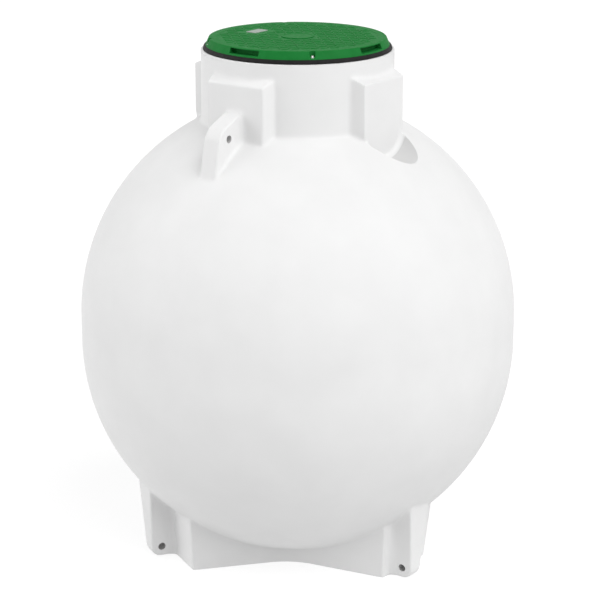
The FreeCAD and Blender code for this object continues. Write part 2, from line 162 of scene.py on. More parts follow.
PLATE_LENGTH = 70 * MM
PLATE_HEIGHT = 1.6 * MM
PLATE_CORNER = 4 * MM
PLATE_RIM = 2.5 * MM
SUNK = 0.3 * MM

# How finely the skin is moulded
VOXEL = 3.5 * MM
SOFTENING = 2
RING_PITCH = 25 * MM
SKIN_TRIANGLES = 175000
INNER_BLEND = 9 * MM
FILL_STEP = 0.5
FILL_PASSES = round((2 * INNER_BLEND / VOXEL) ** 2)
SNAP = 1.2 * MM
TOUCH = 0.1 * MM
ROUND_LIMIT = math.radians(35)
ROUND_PROFILE = 0.5
FACING = 0.9
TINY = 1e-5
BALL_SIDES = 192
TROUGH_SIDES = 128
BORE_SIDES = 40
SCREW_SIDES = 32
SOFT_ANGLE = 40
TREAD_ANGLE = 35
CRISP_ANGLE = 30

# Painted shade: a darker colour in the holes and on the floor of the pipe recesses
BORE_TOUCH = 0.3 * MM
LUG_PAINTED_SHADE = 0.5
FIN_PAINTED_SHADE = 0.7
TROUGH_PAINTED_SHADE = 0.3

WHITE_NODES = [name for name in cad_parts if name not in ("seal_ring", "lid")]


# Handling of pieces, as by hand

def select_only(*pieces):
    """Select these pieces and make the last one active."""
    bpy.ops.object.select_all(action="DESELECT")
    for piece in pieces:
        piece.select_set(True)
    bpy.context.view_layer.objects.active = pieces[-1]


def named(name):
    """Name the primitive that was just added, and put its place into its mesh."""
    piece = bpy.context.object
    piece.name = name
    piece.data.name = name
    settle(piece)
    return piece


def settle(piece):
    """Put an object's place, turn and scale into its mesh."""
    select_only(piece)
    bpy.ops.object.transform_apply(location=True, rotation=True, scale=True)


def turned(piece, degrees):
    """Turn a piece about the tank's axis."""
    piece.rotation_euler.z = math.radians(degrees)
    settle(piece)
    return piece


def copied(piece, name):
    """Copy of a piece with its own mesh."""
    copy = piece.copy()
    copy.data = piece.data.copy()
    copy.name = name
    bpy.context.collection.objects.link(copy)
    return copy


def copies_around(first, turns):
    """Copies of a piece, each turned to its place about the tank's axis, instead of the piece itself."""
    pieces = [turned(copied(first, f"{first.name}_{turn}"), turn) for turn in turns]
    bpy.data.objects.remove(first)
    return pieces


def block(name, low, high):
    """Box between two corners."""
    bpy.ops.object.select_all(action="DESELECT")
    middle = (Vector(low) + Vector(high)) / 2
    bpy.ops.mesh.primitive_cube_add(size=1, location=middle)
    bpy.context.object.scale = Vector(high) - Vector(low)
    return named(name)


def bar(name, radius, start, end, sides):
    """Round bar from one point to another."""
    bpy.ops.object.select_all(action="DESELECT")
    way = Vector(end) - Vector(start)
    middle = (Vector(start) + Vector(end)) / 2
    turn = way.to_track_quat("Z", "Y").to_euler()
    bpy.ops.mesh.primitive_cylinder_add(
        vertices=sides, radius=radius, depth=way.length, location=middle, rotation=turn
    )
    return named(name)


def open_mesh(piece):
    """Go into edit mode with nothing selected."""
    select_only(piece)
    bpy.ops.object.mode_set(mode="EDIT")
    bpy.ops.mesh.select_all(action="DESELECT")


def close_mesh():
    bpy.ops.object.mode_set(mode="OBJECT")


def pick_points(piece, test):
    """In edit mode, select the points whose place passes the test."""
    bpy.ops.mesh.select_mode(type="VERT")
    bpy.ops.mesh.select_all(action="DESELECT")
    form = bmesh.from_edit_mesh(piece.data)
    for point in form.verts:
        point.select_set(test(point.co))
    form.select_flush_mode()
    bmesh.update_edit_mesh(piece.data)


def pick_edges(piece, test):
    """In edit mode, select the edges whose two ends pass the test."""
    bpy.ops.mesh.select_mode(type="EDGE")
    bpy.ops.mesh.select_all(action="DESELECT")
    form = bmesh.from_edit_mesh(piece.data)
    for edge in form.edges:
        edge.select_set(test(edge.verts[0].co, edge.verts[1].co))
    form.select_flush_mode()
    bmesh.update_edit_mesh(piece.data)


def pick_faces(piece, test):
    """In edit mode, select the faces whose middle and normal pass the test."""
    bpy.ops.mesh.select_mode(type="FACE")
    bpy.ops.mesh.select_all(action="DESELECT")
    form = bmesh.from_edit_mesh(piece.data)
    for face in form.faces:
        face.select_set(test(face.calc_center_median(), face.normal))
    form.select_flush_mode()
    bmesh.update_edit_mesh(piece.data)


def push(x, y, z):
    bpy.ops.transform.translate(value=(x, y, z))


def widen(factors, centre):
    bpy.ops.transform.resize(value=factors, center_override=centre)


def round_off(radius, steps, kind="EDGES"):
    """In edit mode, round the selected edges or corners."""
    bpy.ops.mesh.bevel(offset=radius, segments=steps, profile=ROUND_PROFILE, affect=kind)


def raise_faces(height):
    """In edit mode, extrude the selected faces upwards."""
    bpy.ops.mesh.extrude_region_move(TRANSFORM_OT_translate={"value": (0, 0, height)})


def apply_modifier(piece, kind, **settings):
    """Add one modifier with its settings and apply it."""
    select_only(piece)
    modifier = piece.modifiers.new(kind.lower(), kind)
    for name, setting in settings.items():
        setattr(modifier, name, setting)
    bpy.ops.object.modifier_apply(modifier=modifier.name)


def joined(name, pieces):
    """Join several pieces into one."""
    select_only(*pieces)
    bpy.ops.object.join()
    piece = bpy.context.object
    piece.name = name
    piece.data.name = name
    settle(piece)
    return piece


def cut_away(piece, tool):
    """Take a tool's volume out of a piece, and remove the tool."""
    apply_modifier(piece, "BOOLEAN", operation="DIFFERENCE", solver="EXACT", object=tool)
    bpy.data.objects.remove(tool)


def smooth_by_angle(piece, degrees):
    """Shade a piece smooth, apart from edges sharper than an angle."""
    select_only(piece)
    bpy.ops.object.shade_smooth_by_angle(angle=math.radians(degrees))


def take_finish(piece, material, nodes=()):
    """Give a finished piece its material, its body and the nodes that it stands for."""
    piece.data.materials.clear()
    piece.data.materials.append(material)
    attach(piece, "root")
    if nodes:
        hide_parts(*nodes)


# The white moulding

def ball(name, centre):
    bpy.ops.object.select_all(action="DESELECT")
    bpy.ops.mesh.primitive_uv_sphere_add(
        segments=BALL_SIDES, ring_count=BALL_SIDES // 2, radius=BALL_RADIUS, location=(0, 0, centre)
    )
    return named(name)


def soft_edged(piece):
    """Round the edges of a form, as a mould does."""
    apply_modifier(
        piece, "BEVEL", width=EDGE_ROUND, segments=3,
        limit_method="ANGLE", angle_limit=math.radians(SOFT_ANGLE),
    )
    return piece


def neck_pad(name, rounded):
    """Pad on the neck with drafted sides and a sloping top; a pipe pad ends below in a half round."""
    inside = NECK_RADIUS - PAD_EMBED
    depth = PAD_FACE - inside
    bottom = PIPE_AXIS - PAD_HALF if rounded else HIGH_CENTRE
    spread = 1 + depth * math.tan(PAD_DRAFT) / PAD_HALF
    piece = block(name, (inside, -PAD_HALF, bottom), (PAD_FACE, PAD_HALF, PAD_TOP))
    open_mesh(piece)
    if rounded:
        pick_edges(piece, lambda a, b: max(a.z, b.z) < bottom + TINY and abs(a.y - b.y) < TINY)
        round_off(PAD_HALF - TINY, steps=16)
    pick_points(piece, lambda place: place.x < inside + TINY)
    widen((1, spread, 1), (inside, 0, PIPE_AXIS))
    pick_points(piece, lambda place: place.x < inside + TINY and place.z > PAD_TOP - TINY)
    push(0, 0, depth * math.tan(PAD_SLOPE))
    close_mesh()
    return soft_edged(piece)


def lifting_lug(name):
    """Fin with a short level shelf, a sloping brow and a raked outer edge."""
    bottom = HIGH_CENTRE + BALL_RADIUS / 2
    fall = math.tan(LUG_SLOPE)
    lean = math.tan(LUG_RAKE)
    tip = (LUG_REACH + (LUG_HOLE_HEIGHT - LUG_TOP - LUG_SHELF * fall) * lean) / (1 - fall * lean)
    tip_height = LUG_TOP - (tip - LUG_SHELF) * fall
    piece = block(name, (NECK_RADIUS, -LUG_HALF, bottom), (tip, LUG_HALF, LUG_TOP))
    open_mesh(piece)
    bpy.ops.mesh.select_all(action="SELECT")
    bpy.ops.mesh.bisect(plane_co=(LUG_SHELF, 0, 0), plane_no=(1, 0, 0))
    pick_points(piece, lambda place: place.x > tip - TINY and place.z > LUG_TOP - TINY)
    push(0, 0, tip_height - LUG_TOP)
    pick_points(piece, lambda place: place.x > tip - TINY and place.z < bottom + TINY)
    push((tip_height - bottom) * lean, 0, 0)
    pick_edges(piece, lambda a, b: min(a.z, b.z) > tip_height - TINY and min(a.x, b.x) > tip - TINY)
    tip_setback = LUG_CORNER * math.tan((math.pi / 2 - LUG_RAKE - LUG_SLOPE) / 2)
    round_off(tip_setback, steps=12)
    pick_edges(piece, lambda a, b: min(a.z, b.z) > LUG_TOP - TINY and min(a.x, b.x) > LUG_SHELF - TINY)
    shelf_setback = LUG_CORNER * math.tan(LUG_SLOPE / 2)
    round_off(shelf_setback, steps=6)
    close_mesh()
    return soft_edged(piece)


def arm_outline(grow):
    """Outline of one arm at a level where its walls have grown outwards."""
    reach = ARM_REACH + grow
    half = ARM_HALF + grow
    web = ARM_WEB - grow
    side = web + reach * math.sin(ARM_TAPER) + half * math.cos(ARM_TAPER)
    web_centre = side / math.sin(HALF_SECTOR + ARM_TAPER)
    centre = Vector((web_centre * math.cos(HALF_SECTOR), web_centre * math.sin(HALF_SECTOR)))
    start = math.pi + HALF_SECTOR
    end = 3 * math.pi / 2 - ARM_TAPER
    steps = 12
    angles = [start + (end - start) * step / steps for step in range(steps + 1)]
    arc = [centre + web * Vector((math.cos(angle), math.sin(angle))) for angle in angles]
    upper = [(0, 0)] + [tuple(point) for point in arc] + [(reach, half)]
    lower = [(x, -y) for x, y in reversed(upper[1:])]
    return upper + lower


def foot_arm(name):
    """Arm of the foot with drafted walls, from a little below the ground up into the ball."""
    low = arm_outline(-FOOT_SPARE * math.tan(ARM_DRAFT))
    high = arm_outline(FOOT_BURIED * math.tan(ARM_DRAFT))
    bpy.ops.object.select_all(action="DESELECT")
    bpy.ops.mesh.primitive_circle_add(vertices=len(low), radius=ARM_REACH, fill_type="NGON")
    piece = named(name)
    for point, place in zip(piece.data.vertices, low):
        point.co = (*place, -FOOT_SPARE)
    open_mesh(piece)
    bpy.ops.mesh.select_all(action="SELECT")
    raise_faces(FOOT_SPARE + FOOT_BURIED)
    close_mesh()
    raised = [point for point in piece.data.vertices if point.co.z > TINY]
    for point in raised:
        nearest = min(range(len(low)), key=lambda index: (Vector(low[index]) - point.co.xy).length)
        point.co = (*high[nearest], FOOT_BURIED)
    open_mesh(piece)
    bpy.ops.mesh.select_all(action="SELECT")
    bpy.ops.mesh.normals_make_consistent(inside=False)
    pick_edges(piece, lambda a, b: min(a.x, b.x) > ARM_REACH - FOOT_SPARE and abs(a.z - b.z) > TINY)
    round_off(EDGE_ROUND, steps=3)
    close_mesh()
    return piece


def anchor_fin(name):
    """Fin on the end of an arm: drafted sides, raked edge, round lower corner and a flared root."""
    root = ARM_REACH + FIN_FLARE_DEPTH
    piece = block(name, (root, -FIN_HALF, 0), (FIN_REACH, FIN_HALF, FOOT_BURIED))
    open_mesh(piece)
    pick_faces(piece, lambda middle, normal: normal.x < -FACING)
    bpy.ops.mesh.extrude_region_move(TRANSFORM_OT_translate={"value": (-FIN_FLARE_DEPTH, 0, 0)})
    widen((1, 1 + FIN_FLARE / FIN_HALF, 1), (ARM_REACH, 0, 0))
    bpy.ops.mesh.extrude_region_move(TRANSFORM_OT_translate={"value": (-ARM_HALF, 0, 0)})
    pick_points(piece, lambda place: place.z > FOOT_BURIED - TINY)
    widen((1, 1 + FOOT_BURIED * math.tan(FIN_DRAFT) / FIN_HALF, 1), (ARM_REACH, 0, FOOT_BURIED))
    pick_points(piece, lambda place: place.z > FOOT_BURIED - TINY and place.x > FIN_REACH - TINY)
    push(FOOT_BURIED * math.tan(FIN_RAKE), 0, 0)
    pick_edges(piece, lambda a, b: max(a.z, b.z) < TINY and min(a.x, b.x) > FIN_REACH - TINY)
    setback = FIN_CORNER * math.tan((math.pi / 2 - FIN_RAKE) / 2)
    round_off(setback, steps=12)
    bpy.ops.mesh.select_all(action="SELECT")
    push(0, -FIN_OFFSET, 0)
    close_mesh()
    return soft_edged(piece)


def point_places(mesh):
    """Places of a mesh's points, one row each."""
    places = np.empty(len(mesh.vertices) * 3)
    mesh.vertices.foreach_get("co", places)
    return places.reshape(-1, 3)


def round_walls(places):
    """How far places lie outside the ball with its belt, then the neck, and the wall's normals there."""
    centre = np.zeros_like(places)
    centre[:, 2] = np.clip(places[:, 2], LOW_CENTRE, HIGH_CENTRE)
    for arrow, radius in ((places - centre, BALL_RADIUS), (places * (1, 1, 0), NECK_RADIUS)):
        length = np.maximum(np.linalg.norm(arrow, axis=1, keepdims=True), TINY)
        yield length - radius, arrow / length


def snap_round_walls(piece, spare):
    """Put points inside or close outside the ball, belt or neck exactly on them, and flatten the sole."""
    places = point_places(piece.data)
    above_ball = places[:, 2:] > HIGH_CENTRE
    ball_wall, neck_wall = round_walls(places)
    for (outside, normal), beside in ((ball_wall, True), (neck_wall, above_ball)):
        near = (outside > -SNAP) & (outside < spare) & beside
        places = np.where(near, places - outside * normal, places)
    places[:, 2] = np.maximum(places[:, 2], 0)
    piece.data.vertices.foreach_set("co", places.ravel())
    piece.data.update()


def fill_inner_corners(skin):
    """Fill the inner corners of the moulding to a soft round, and leave walls and outer corners."""
    mesh = skin.data
    ends = np.empty(len(mesh.edges) * 2, dtype=np.int32)
    mesh.edges.foreach_get("vertices", ends)
    first, second = ends.reshape(-1, 2).T
    places = point_places(mesh)
    total = len(places)
    normals = np.empty(total * 3, dtype=np.float32)
    mesh.vertex_normals.foreach_get("vector", normals)
    normals = normals.reshape(-1, 3)
    neighbours = np.bincount(ends, minlength=total)[:, None]
    for _ in range(FILL_PASSES):
        sums = np.empty_like(places)
        for axis, line in enumerate(places.T):
            sums[:, axis] = np.bincount(first, line[second], total)
            sums[:, axis] += np.bincount(second, line[first], total)
        pull = sums / neighbours - places
        hollow = np.sum(pull * normals, axis=1) > 0
        places[hollow] += FILL_STEP * pull[hollow]
    mesh.vertices.foreach_set("co", places.ravel())
    mesh.update()


def pipe_trough(name):
    """Round-ended bar that sinks a pipe recess into the dome, just clear of the pad's face."""
    start = PAD_FACE + TROUGH_GAP
    tool = bar(name, PAD_HALF, (start, 0, PIPE_AXIS), (BALL_RADIUS, 0, PIPE_AXIS), TROUGH_SIDES)
    open_mesh(tool)
    pick_edges(tool, lambda a, b: max(a.x, b.x) < start + TINY)
    round_off(TROUGH_BLEND, steps=10)
    close_mesh()
    return tool


def lug_bore(name):
    near = -LUG_HALF - CUT_SPARE
    far = LUG_HALF + CUT_SPARE
    return bar(
        name, LUG_HOLE_RADIUS,
        (LUG_HOLE_OUT, near, LUG_HOLE_HEIGHT), (LUG_HOLE_OUT, far, LUG_HOLE_HEIGHT), BORE_SIDES,
    )


def fin_bore(name):
    near = -FIN_OFFSET + FIN_HALF + CUT_SPARE
    far = -FIN_OFFSET - FIN_HALF - CUT_SPARE
    return bar(
        name, FIN_HOLE_RADIUS,
        (FIN_HOLE_OUT, near, FIN_HOLE_HEIGHT), (FIN_HOLE_OUT, far, FIN_HOLE_HEIGHT), BORE_SIDES,
    )


def cutting_tools():
    """Recesses and holes with crisp edges, as one tool."""
    tools = copies_around(pipe_trough("trough"), PIPE_TURNS)
    tools += copies_around(lug_bore("lug_bore"), LUG_TURNS)
    tools += copies_around(fin_bore("fin_bore"), ARM_TURNS)
    return joined("cutting_tools", tools)


def ring_neck(skin):
    """Cut level rings around the neck, so that its tall wall is not shaded from its rounded ends alone."""
    dome_edge = HIGH_CENTRE + math.sqrt(BALL_RADIUS ** 2 - NECK_RADIUS ** 2)
    rings = int((NECK_TOP - dome_edge) / RING_PITCH)
    open_mesh(skin)
    for ring in range(rings):
        bpy.ops.mesh.select_all(action="SELECT")
        bpy.ops.mesh.bisect(plane_co=(0, 0, NECK_TOP - (ring + 0.5) * RING_PITCH), plane_no=(0, 0, 1))
    close_mesh()


def corner_places(mesh):
    """Places of the corners of a mesh's faces, one row each."""
    corners = np.empty(len(mesh.loops), dtype=np.int32)
    mesh.loops.foreach_get("vertex_index", corners)
    return point_places(mesh)[corners]


def on_whole_faces(mesh, held):
    """True at the corners of those faces whose corners are all held."""
    starts = np.empty(len(mesh.polygons), dtype=np.int32)
    mesh.polygons.foreach_get("loop_start", starts)
    totals = np.empty(len(mesh.polygons), dtype=np.int32)
    mesh.polygons.foreach_get("loop_total", totals)
    return np.repeat(np.logical_and.reduceat(held, starts), totals)


def on_bore(places, turn, out, height, radius):
    """True at places on the wall of a bore through a fin."""
    angle = math.radians(turn)
    along = places[:, 0] * math.cos(angle) + places[:, 1] * math.sin(angle)
    return np.abs(np.hypot(along - out, places[:, 2] - height) - radius) < BORE_TOUCH


def mark_painted_shade(skin):
    """Note where shade is painted into the colour: thick in the holes and thin on the floor of the pipe
    recesses.
    """
    mesh = skin.data
    places = corner_places(mesh)
    trough = np.abs(np.hypot(places[:, 1], places[:, 2] - PIPE_AXIS) - PAD_HALF) < BORE_TOUCH
    trough &= np.abs(places[:, 0]) > PAD_FACE + TROUGH_GAP + TROUGH_BLEND - TOUCH
    # Each value is how strongly shade is painted into the base colour there
    dust = np.zeros(len(places))
    dust[on_whole_faces(mesh, trough)] = TROUGH_PAINTED_SHADE
    for turn in LUG_TURNS:
        bore = on_bore(places, turn, LUG_HOLE_OUT, LUG_HOLE_HEIGHT, LUG_HOLE_RADIUS)
        dust[on_whole_faces(mesh, bore)] = LUG_PAINTED_SHADE
    for turn in ARM_TURNS:
        bore = on_bore(places, turn, FIN_HOLE_OUT, FIN_HOLE_HEIGHT, FIN_HOLE_RADIUS)
        dust[on_whole_faces(mesh, bore)] = FIN_PAINTED_SHADE
    mesh.attributes.new("dust", "FLOAT", "CORNER").data.foreach_set("value", dust)


def take_round_normals(skin):
    """Shade the ball, belt and neck by their true round form, where the skin lies on it."""
    mesh = skin.data
    normals = np.empty(len(mesh.loops) * 3, dtype=np.float32)
    mesh.corner_normals.foreach_get("vector", normals)
    normals = normals.reshape(-1, 3)
    for outside, round_normal in round_walls(corner_places(mesh)):
        along = np.sum(normals * round_normal, axis=1, keepdims=True)
        on_wall = (np.abs(outside) < TOUCH) & (along > math.cos(ROUND_LIMIT))
        normals = np.where(on_wall, round_normal, normals)
    mesh.normals_split_custom_set(normals)


def make_tank_body():
    """The whole moulding as one soft-edged skin with crisp recesses and holes."""
    forms = [ball("dome_form", HIGH_CENTRE), ball("bowl_form", LOW_CENTRE)]
    forms.append(bar("belt_form", BALL_RADIUS, (0, 0, LOW_CENTRE), (0, 0, HIGH_CENTRE), BALL_SIDES))
    forms.append(bar("neck_form", NECK_RADIUS, (0, 0, HIGH_CENTRE), (0, 0, NECK_TOP), BALL_SIDES))
    forms += copies_around(neck_pad("pipe_pad_form", rounded=True), PIPE_TURNS)
    forms += copies_around(neck_pad("lug_pad_form", rounded=False), LUG_TURNS)
    forms += copies_around(lifting_lug("lug_form"), LUG_TURNS)
    forms += copies_around(foot_arm("arm_form"), ARM_TURNS)
    forms += copies_around(anchor_fin("fin_form"), ARM_TURNS)
    body = joined("tank_body", forms)
    apply_modifier(body, "REMESH", mode="VOXEL", voxel_size=VOXEL)
    apply_modifier(body, "SMOOTH", factor=0.5, iterations=SOFTENING)
    snap_round_walls(body, SNAP)
    fill_inner_corners(body)
    select_only(body)
    bpy.ops.object.shade_smooth()
    body.data.calc_loop_triangles()
    apply_modifier(body, "DECIMATE", ratio=SKIN_TRIANGLES / len(body.data.loop_triangles))
    ring_neck(body)
    snap_round_walls(body, TOUCH)
    cut_away(body, cutting_tools())
    smooth_by_angle(body, SOFT_ANGLE)
    apply_modifier(body, "WEIGHTED_NORMAL", mode="FACE_AREA", keep_sharp=True)
    take_round_normals(body)
    # Painted shade: marks the holes and pipe recesses, where the colour is darkened to stand for shade
    mark_painted_shade(body)
    return body


# The seal and the lid

def make_seal():
    """Rubber ring with a rounded section and a slanted outer side, spun about the tank's axis."""
    bpy.ops.object.select_all(action="DESELECT")
    middle = SEAL_RADIUS - SEAL_WIDTH / 2
    bpy.ops.mesh.primitive_plane_add(
        size=1, location=(middle, 0, (NECK_TOP + LID_BOTTOM) / 2), rotation=(math.pi / 2, 0, 0)
    )
    bpy.context.object.scale = (SEAL_WIDTH, LID_BOTTOM - NECK_TOP, 1)
    ring = named("seal_ring_rubber")
    open_mesh(ring)
    pick_points(ring, lambda place: place.x > SEAL_RADIUS - TINY and place.z > LID_BOTTOM - TINY)
    push(-SEAL_SLANT, 0, 0)
    bpy.ops.mesh.select_all(action="SELECT")
    round_off(SEAL_ROUND, steps=5, kind="VERTICES")
    bpy.ops.mesh.delete(type="ONLY_FACE")
    bpy.ops.mesh.select_all(action="SELECT")
    bpy.ops.mesh.spin(steps=LID_SIDES, angle=2 * math.pi, center=(0, 0, 0), axis=(0, 0, 1))
    bpy.ops.mesh.select_all(action="SELECT")
    bpy.ops.mesh.remove_doubles(threshold=TINY)
    bpy.ops.mesh.normals_make_consistent(inside=False)
    close_mesh()
    smooth_by_angle(ring, SOFT_ANGLE)
    return ring


def lid_cover():
    """Round cover: drafted edge, plain border, sunk field, raised bare medallion, hollow underside."""
    piece = bar("lid_cover", LID_RADIUS, (0, 0, LID_BOTTOM), (0, 0, LID_TOP), LID_SIDES)
    open_mesh(piece)
    pick_points(piece, lambda place: place.z > LID_TOP - TINY)
    taper = LID_TOP_RADIUS / LID_RADIUS
    widen((taper, taper, 1), (0, 0, LID_TOP))
    pick_edges(piece, lambda a, b: min(a.z, b.z) > LID_TOP - TINY)
    round_off(LID_EDGE, steps=4)
    pick_faces(piece, lambda middle, normal: normal.z > 1 - TINY and middle.xy.length < LID_EDGE)
    bpy.ops.mesh.inset(thickness=LID_TOP_RADIUS - LID_EDGE - FIELD_RADIUS)
    bpy.ops.mesh.inset(thickness=FIELD_SINK, depth=-FIELD_SINK)
    bpy.ops.mesh.inset(thickness=FIELD_RADIUS - FIELD_SINK - MEDALLION_RADIUS)
    raise_faces(FIELD_SINK + MEDALLION_RISE - MEDALLION_EDGE)
    bpy.ops.mesh.inset(thickness=MEDALLION_EDGE, depth=MEDALLION_EDGE)
    bpy.ops.mesh.inset(thickness=MEDALLION_RIM)
    bpy.ops.mesh.inset(thickness=MEDALLION_EDGE, depth=-MEDALLION_EDGE)
    pick_faces(piece, lambda middle, normal: normal.z < -1 + TINY and middle.xy.length < LID_EDGE)
    bpy.ops.mesh.inset(thickness=LID_SKIRT)
    raise_faces(LID_UNDERSIDE - LID_BOTTOM)
    close_mesh()
    return piece


def grip_slot(name):
    """Tool for a finger slot under the lid's edge."""
    reach = LID_RADIUS + CUT_SPARE
    tool = block(name, (GRIP_BACK, -GRIP_HALF, GRIP_SILL), (reach, GRIP_HALF, GRIP_LIP))
    open_mesh(tool)
    pick_edges(tool, lambda a, b: abs(a.y - b.y) < TINY and abs(a.z - b.z) < TINY)
    round_off(GRIP_CORNER, steps=3)
    close_mesh()
    return tool


def screw_notch(name):
    """Tool for a screw's notch in the lid's edge."""
    top = LID_TOP + CUT_SPARE
    return bar(name, NOTCH_RADIUS, (NOTCH_OUT, 0, NOTCH_FLOOR), (NOTCH_OUT, 0, top), SCREW_SIDES)


def make_lid():
    """Cover with its four grip slots and four screw notches."""
    piece = lid_cover()
    tools = copies_around(grip_slot("grip"), GRIP_TURNS)
    tools += copies_around(screw_notch("notch"), SCREW_TURNS)
    cut_away(piece, joined("lid_tools", tools))
    smooth_by_angle(piece, CRISP_ANGLE)
    return piece


def tread_bar():
    """One raised bar of the tread, with round ends and drafted sides."""
    floor = LID_TOP - FIELD_SINK
    piece = block(
        "tread_bar",
        (-TREAD_LENGTH / 2, -TREAD_WIDTH / 2, floor - SUNK),
        (TREAD_LENGTH / 2, TREAD_WIDTH / 2, floor + TREAD_HEIGHT),
    )
    open_mesh(piece)
    pick_edges(piece, lambda a, b: abs(a.z - b.z) > TINY)
    round_off(TREAD_WIDTH / 2 - TINY, steps=3)
    pick_points(piece, lambda place: place.z > floor + TREAD_HEIGHT - TINY)
    widen(((TREAD_LENGTH - TREAD_WIDTH * (1 - TREAD_TAPER)) / TREAD_LENGTH, TREAD_TAPER, 1), (0, 0, floor))
    close_mesh()
    return piece


def tread_place_free(x, y):
    """True where a bar fits on the field, clear of the medallion and the plate."""
    out = math.hypot(x, y)
    on_field = MEDALLION_RADIUS + TREAD_CLEAR < out < FIELD_RADIUS - TREAD_CLEAR
    beside = abs(x - PLATE_OUT) > PLATE_WIDTH / 2 + TREAD_CLEAR
    return on_field and (beside or abs(y) > PLATE_LENGTH / 2 + TREAD_CLEAR)


def make_tread():
    """Field of short bars that lie across each other in turn."""
    first = tread_bar()
    bars = []
    reach = math.ceil(FIELD_RADIUS / TREAD_PITCH)
    for column in range(-reach, reach + 1):
        for row in range(-reach, reach + 1):
            x = column * TREAD_PITCH
            y = row * TREAD_PITCH
            if tread_place_free(x, y):
                copy = copied(first, f"tread_bar_{len(bars)}")
                copy.location = (x, y, 0)
                copy.rotation_euler.z = math.radians(DIAGONAL if (column + row) % 2 else -DIAGONAL)
                bars.append(copy)
    bpy.data.objects.remove(first)
    tread = joined("lid_tread", bars)
    smooth_by_angle(tread, TREAD_ANGLE)
    return tread


def screw(name):
    """Domed screw head with a cross recess on a washer."""
    washer_top = NOTCH_FLOOR + WASHER_HEIGHT
    top = washer_top + SCREW_HEIGHT
    washer = bar(
        f"{name}_washer", WASHER_RADIUS,
        (NOTCH_OUT, 0, NOTCH_FLOOR), (NOTCH_OUT, 0, washer_top), SCREW_SIDES,
    )
    root = (NOTCH_OUT, 0, washer_top - SUNK)
    head = bar(name, SCREW_RADIUS, root, (NOTCH_OUT, 0, top), SCREW_SIDES)
    open_mesh(head)
    pick_edges(head, lambda a, b: min(a.z, b.z) > top - TINY)
    round_off(SCREW_DOME, steps=5)
    close_mesh()
    for length, width in ((CROSS_LENGTH, CROSS_WIDTH), (CROSS_WIDTH, CROSS_LENGTH)):
        low = (NOTCH_OUT - length / 2, -width / 2, top - CROSS_DEPTH)
        high = (NOTCH_OUT + length / 2, width / 2, top + CUT_SPARE)
        cut_away(head, block("cross_tool", low, high))
    return joined(name, [washer, head])


def make_screws():
    piece = joined("lid_screws", copies_around(screw("screw"), SCREW_TURNS))
    smooth_by_angle(piece, SOFT_ANGLE)
    return piece


def make_plate():
    """Bare plate on the lid, with round corners and a low rim."""
    floor = LID_TOP - FIELD_SINK
    low = (PLATE_OUT - PLATE_WIDTH / 2, -PLATE_LENGTH / 2, floor - SUNK)
    high = (PLATE_OUT + PLATE_WIDTH / 2, PLATE_LENGTH / 2, floor + PLATE_HEIGHT)
    piece = block("lid_plate", low, high)
    open_mesh(piece)
    pick_edges(piece, lambda a, b: abs(a.z - b.z) > TINY)
    round_off(PLATE_CORNER, steps=5)
    pick_faces(piece, lambda middle, normal: normal.z > 1 - TINY)
    bpy.ops.mesh.inset(thickness=SUNK, depth=SUNK)
    bpy.ops.mesh.inset(thickness=PLATE_RIM)
    bpy.ops.mesh.inset(thickness=SUNK, depth=-2 * SUNK)
    close_mesh()
    smooth_by_angle(piece, CRISP_ANGLE)
    return piece


# Materials

NOISE_LOW = 0.3
NOISE_HIGH = 0.7


def new_material(name, roughness, specular=0.5):
    """Empty material with a principled shader."""
    material = bpy.data.materials.new(name)
    material.use_nodes = True
    shader = material.node_tree.nodes["Principled BSDF"]
    shader.inputs["Roughness"].default_value = roughness
    shader.inputs["Specular IOR Level"].default_value = specular
    return material, material.node_tree, shader


def grain(tree, scale, detail=3, stretch=(1, 1, 1)):
    """Noise fixed to the piece, as many grains to the metre as its scale."""
    place = tree.nodes.new("ShaderNodeTexCoord")
    shape = tree.nodes.new("ShaderNodeMapping")
    shape.inputs["Scale"].default_value = stretch
    noise = tree.nodes.new("ShaderNodeTexNoise")
    noise.inputs["Scale"].default_value = scale
    noise.inputs["Detail"].default_value = detail
    tree.links.new(place.outputs["Object"], shape.inputs["Vector"])
    tree.links.new(shape.outputs["Vector"], noise.inputs["Vector"])
    return noise.outputs["Fac"]


def spread(tree, pattern, low, high):
    """Number that runs from low to high with a pattern."""
    between = tree.nodes.new("ShaderNodeMapRange")
    between.inputs["From Min"].default_value = NOISE_LOW
    between.inputs["From Max"].default_value = NOISE_HIGH
    between.inputs["To Min"].default_value = low
    between.inputs["To Max"].default_value = high
    tree.links.new(pattern, between.inputs["Value"])
    return between.outputs["Result"]


def two_tone(tree, shader, pattern, first, second):
    """Base colour that runs between two tones with a pattern."""
    blend = tree.nodes.new("ShaderNodeMix")
    blend.data_type = "RGBA"
    blend.inputs["A"].default_value = (*first, 1)
    blend.inputs["B"].default_value = (*second, 1)
    tree.links.new(spread(tree, pattern, 0, 1), blend.inputs["Factor"])
    tree.links.new(blend.outputs["Result"], shader.inputs["Base Color"])


def with_painted_shade(tree, shader, tone):
    """Base colour that turns to a darker tone where shade is painted on the piece."""
    unshaded = shader.inputs["Base Color"].links[0].from_socket
    dust = tree.nodes.new("ShaderNodeAttribute")
    dust.attribute_name = "dust"
    blend = tree.nodes.new("ShaderNodeMix")
    blend.data_type = "RGBA"
    blend.inputs["B"].default_value = (*tone, 1)
    tree.links.new(dust.outputs["Fac"], blend.inputs["Factor"])
    tree.links.new(unshaded, blend.inputs["A"])
    tree.links.new(blend.outputs["Result"], shader.inputs["Base Color"])


def relief(tree, shader, pattern, height, strength):
    """Fine relief of the surface."""
    bump = tree.nodes.new("ShaderNodeBump")
    bump.inputs["Strength"].default_value = strength
    bump.inputs["Distance"].default_value = height
    tree.links.new(pattern, bump.inputs["Height"])
    tree.links.new(bump.outputs["Normal"], shader.inputs["Normal"])


